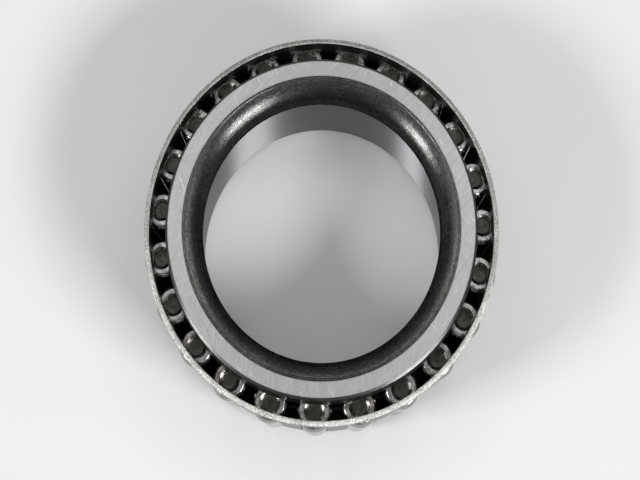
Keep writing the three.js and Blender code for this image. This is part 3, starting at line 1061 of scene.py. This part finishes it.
def pale_floor():
    """Matt floor. Far from the bearing the camera sees it run out into the backdrop's tone."""
    g = Graph("pale_floor")
    place = Value(g, g.node("ShaderNodeTexCoord").outputs["Object"])
    cloud = g.noise(place, scale=14.0, detail=3.0, rough=0.6)
    fine = g.noise(place, scale=900.0, detail=2.0, rough=0.6)
    base = g.mix(cloud, (0.79, 0.795, 0.80), (0.82, 0.82, 0.82))
    far = g.fade(g.vector_math("LENGTH", place, output="Value"), 0.16, 1.1)
    seen = Value(g, g.node("ShaderNodeLightPath").outputs["Is Camera Ray"])
    glow = g.feed(g.node("ShaderNodeEmission"), {"Color": BACKDROP})
    surface = Value(g, g.bsdf.outputs[0])
    blend = g.feed(g.node("ShaderNodeMixShader"), {0: far * seen, 1: surface, 2: glow})
    g.put(g.out.inputs[0], blend)
    return g.set(Base_Color=base, Roughness=0.9, Specular_IOR_Level=0.15,
                 Normal=g.bump(fine, depth=0.02, strength=0.3))


def build_floor():
    mesh = bpy.data.meshes.new("floor")
    corners = [(-1, -1), (1, -1), (1, 1), (-1, 1)]
    mesh.from_pydata([(x * FLOOR_HALF, y * FLOOR_HALF, FLOOR_Z) for x, y in corners],
                     [], [(0, 1, 2, 3)])
    mesh.materials.append(pale_floor())
    floor = bpy.data.objects.new("floor", mesh)
    bpy.context.scene.collection.objects.link(floor)


build_floor()

# ---- lights and world -------------------------------------------------------------------------

LIGHT_TARGET = Vector((0, 0, 0.012))
# name, azimuth and elevation (degrees), distance, size, size_y (metres), power (W)
LIGHTS = [
    ("key_right", -42, 32, 1.20, 0.50, 0.25, 11.0),
    ("fill_left", -155, 30, 1.20, 0.32, 0.22, 7.6),
    ("top_soft", 95, 66, 1.30, 0.80, 0.46, 0.8),
    ("side_right", 40, 60, 1.30, 0.60, 0.46, 1.2),
    ("side_left", 140, 60, 1.30, 0.60, 0.46, 0.95),
]


def area_light(name, azimuth, elevation, distance, size, size_y, power):
    """A rectangular light that faces the target and is hidden from the camera."""
    light = bpy.data.lights.new(name, "AREA")
    light.shape = "RECTANGLE"
    light.size, light.size_y = size, size_y
    light.energy = power
    ob = bpy.data.objects.new(name, light)
    a, e = math.radians(azimuth), math.radians(elevation)
    away = Vector((math.cos(a) * math.cos(e), math.sin(a) * math.cos(e), math.sin(e)))
    ob.location = LIGHT_TARGET + away * distance
    ob.rotation_euler = away.to_track_quat("Z", "Y").to_euler()
    ob.visible_camera = False
    bpy.context.scene.collection.objects.link(ob)


for row in LIGHTS:
    area_light(*row)


def build_world():
    """Soft grey studio by height; the camera itself sees the flat backdrop."""
    world = bpy.data.worlds.new("studio")
    bpy.context.scene.world = world
    world.use_nodes = True
    nodes, link = world.node_tree.nodes, world.node_tree.links.new
    nodes.clear()
    out = nodes.new("ShaderNodeOutputWorld")
    coords = nodes.new("ShaderNodeTexCoord")
    split = nodes.new("ShaderNodeSeparateXYZ")
    ramp = nodes.new("ShaderNodeValToRGB")
    ramp.color_ramp.interpolation = "EASE"
    elements = ramp.color_ramp.elements
    elements[0].position, elements[0].color = 0.0, (0.30, 0.30, 0.31, 1)
    elements[1].position, elements[1].color = 1.0, (0.42, 0.42, 0.42, 1)
    elements.new(0.35).color = (0.17, 0.17, 0.175, 1)
    elements.new(0.75).color = (0.30, 0.30, 0.30, 1)
    studio = nodes.new("ShaderNodeBackground")
    studio.inputs["Strength"].default_value = 0.9
    backdrop = nodes.new("ShaderNodeBackground")
    backdrop.inputs["Color"].default_value = (*BACKDROP, 1)
    light_path = nodes.new("ShaderNodeLightPath")
    mix = nodes.new("ShaderNodeMixShader")
    link(coords.outputs["Generated"], split.inputs[0])
    link(split.outputs[2], ramp.inputs[0])
    link(ramp.outputs[0], studio.inputs["Color"])
    link(light_path.outputs["Is Camera Ray"], mix.inputs[0])
    link(studio.outputs[0], mix.inputs[1])
    link(backdrop.outputs[0], mix.inputs[2])
    link(mix.outputs[0], out.inputs[0])


build_world()

# ---- camera -----------------------------------------------------------------------------------
# The camera stands 74 degrees above the floor on the -Y side, and its lens is shifted: the
# picture plane leans back against the line of sight, as in a view camera, which draws the ring
# a little taller than wide. The lean sits in the camera's parent, so other views get a plain
# lens.

CAMERA_AT = Vector((3.0385, -217.3435, 769.90)) * MM
CAMERA_TURN = (0.7786, 0.0055, 0.0058)           # radians about x, y, z
SENSOR_WIDTH = 36.0
FOCAL_LENGTH = 203.1233625
LENS_SHIFT_X, LENS_SHIFT_Y = -0.61288875, -110.92955625      # on the sensor


def build_camera():
    turn_x, turn_y, turn_z = CAMERA_TURN
    turn = (Matrix.Rotation(turn_z, 3, "Z") @ Matrix.Rotation(turn_y, 3, "Y")
            @ Matrix.Rotation(turn_x, 3, "X"))
    x_axis, y_axis, z_axis = turn.col[0], turn.col[1], turn.col[2]
    lean = (z_axis - y_axis * (LENS_SHIFT_Y / FOCAL_LENGTH)
            + x_axis * (LENS_SHIFT_X / FOCAL_LENGTH))
    data = bpy.data.cameras.new("camera")
    data.sensor_fit = "HORIZONTAL"
    data.sensor_width = SENSOR_WIDTH
    data.lens = FOCAL_LENGTH * lean.length
    data.clip_start, data.clip_end = 0.01, 20.0
    lean.normalize()
    camera = bpy.data.objects.new("camera", data)
    bpy.context.scene.collection.objects.link(camera)
    stand = bpy.data.objects.new("camera_stand", None)
    bpy.context.scene.collection.objects.link(stand)
    camera.parent = stand
    camera.matrix_parent_inverse = axes_matrix(x_axis, y_axis, lean, CAMERA_AT)
    bpy.context.scene.camera = camera


build_camera()

view = bpy.context.scene.view_settings
view.view_transform = "Standard"
view.look = "None"
view.exposure = 0.0
view.gamma = 1.0
